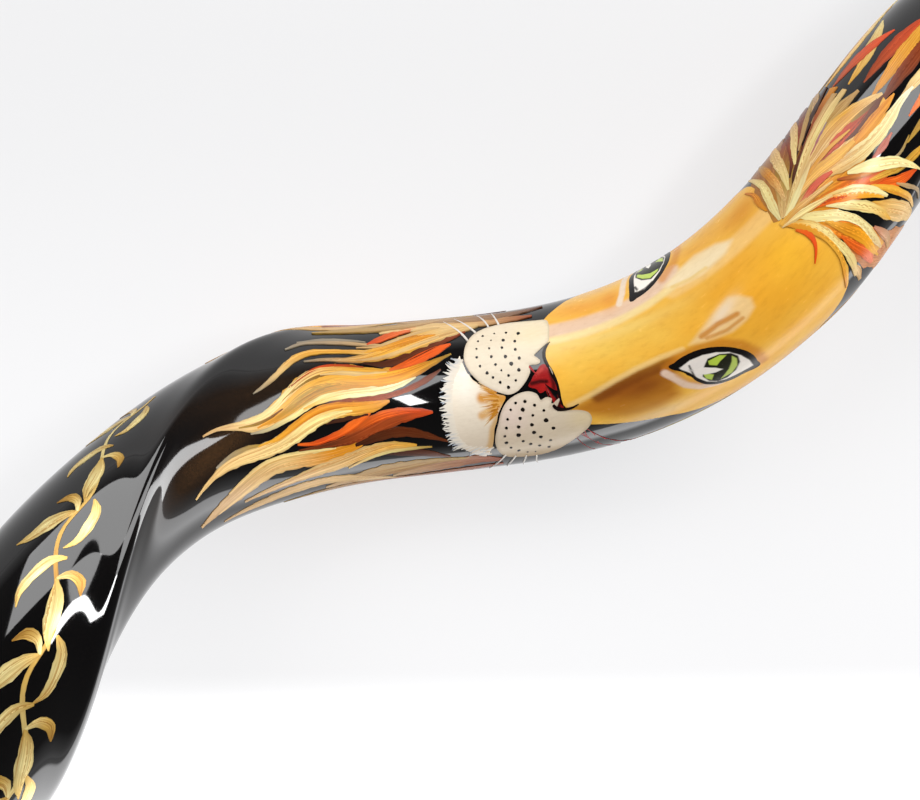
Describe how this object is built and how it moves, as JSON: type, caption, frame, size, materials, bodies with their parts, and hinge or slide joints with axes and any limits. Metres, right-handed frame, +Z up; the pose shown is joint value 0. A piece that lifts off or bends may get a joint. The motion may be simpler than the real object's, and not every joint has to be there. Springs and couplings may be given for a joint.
{
  "type": "shofar",
  "caption": "Long spiral horn trumpet made from one animal horn: black lacquered, painted animal face and flame-like locks, open bell at one end, drilled cup mouthpiece at the other.",
  "frame": {"origin": "centre of the bounding box's underside, on the surface the horn lies on", "axes": "+X from the bell to the mouth end, +Z up with the horn lying in its own resting attitude"},
  "size_m": [0.8655, 0.1379, 0.1201],
  "materials": {
    "bare_horn": "polished natural horn, brown with paler streaks",
    "black_lacquer": "black under very glossy clear lacquer",
    "gold_paint": "brushed gold paint under clear lacquer",
    "face_gold": "golden yellow paint shaded with ochre, under clear lacquer",
    "cream_paint": "cream paint under clear lacquer",
    "nose_red": "dark red paint under clear lacquer",
    "eye_paint": "white, green and black paint under clear lacquer",
    "lock_paint": "yellow, orange, red and brown brush strokes under clear lacquer",
    "white_paint": "white paint under clear lacquer"
  },
  "bodies": {
    "root": {"horn_sheath": "bare_horn", "lacquer_coat": "black_lacquer", "face_paint": "face_gold", "muzzle_paint": "cream_paint", "chin_paint": "cream_paint", "nose_paint": "nose_red", "eyes_paint": "eye_paint", "beard_paint": "lock_paint", "forelock_paint": "lock_paint", "mane_paint": "lock_paint", "whisker_paint": "white_paint", "gold_ornament_paint": "gold_paint"}
  },
  "joints": []
}
